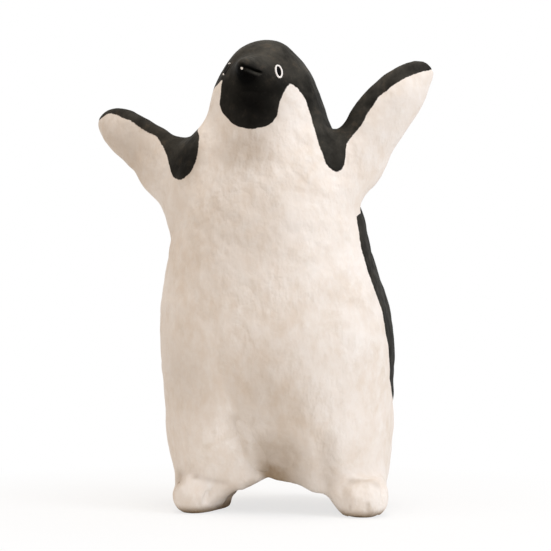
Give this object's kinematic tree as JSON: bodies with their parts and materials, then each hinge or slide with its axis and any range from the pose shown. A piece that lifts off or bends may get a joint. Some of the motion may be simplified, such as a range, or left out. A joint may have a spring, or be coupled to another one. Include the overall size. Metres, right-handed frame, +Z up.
{
  "type": "penguin figurine",
  "caption": "Free-standing hollow paper penguin ornament with raised flippers, toed-out feet and a turned head, built of two body shells with pegged and wired limbs.",
  "frame": {"origin": "on the surface that the soles stand on, under the middle of the figure's outer box", "axes": "+Z up, -Y the way the figure faces, +X the figure's own left"},
  "size_m": [0.152, 0.0956, 0.2],
  "materials": {
    "painted_paper": "papier-mache with a thick off-white ground, matt black paint over the hood, back and flipper edges",
    "black_paper": "paper pulp with matt black paint",
    "white_paper": "paper pulp with a thick off-white ground",
    "eye_paint": "raised line of thick white paint",
    "bare_paper": "pasted brown paper strip",
    "bare_wood": "bare softwood",
    "steel_wire": "annealed steel wire",
    "plaster": "cast plaster"
  },
  "bodies": {
    "root": {"front_shell": "painted_paper", "back_shell": "painted_paper", "left_flipper": "painted_paper", "right_flipper": "painted_paper", "tail": "painted_paper", "beak": "black_paper", "left_foot": "white_paper", "right_foot": "white_paper", "left_eye_ring": "eye_paint", "right_eye_ring": "eye_paint", "seam_lining": "bare_paper", "base_board": "bare_wood", "spine_dowel": "bare_wood", "left_leg_peg": "bare_wood", "right_leg_peg": "bare_wood", "beak_pin": "bare_wood", "tail_pin": "bare_wood", "flipper_wire": "steel_wire", "ballast": "plaster"}
  },
  "joints": []
}
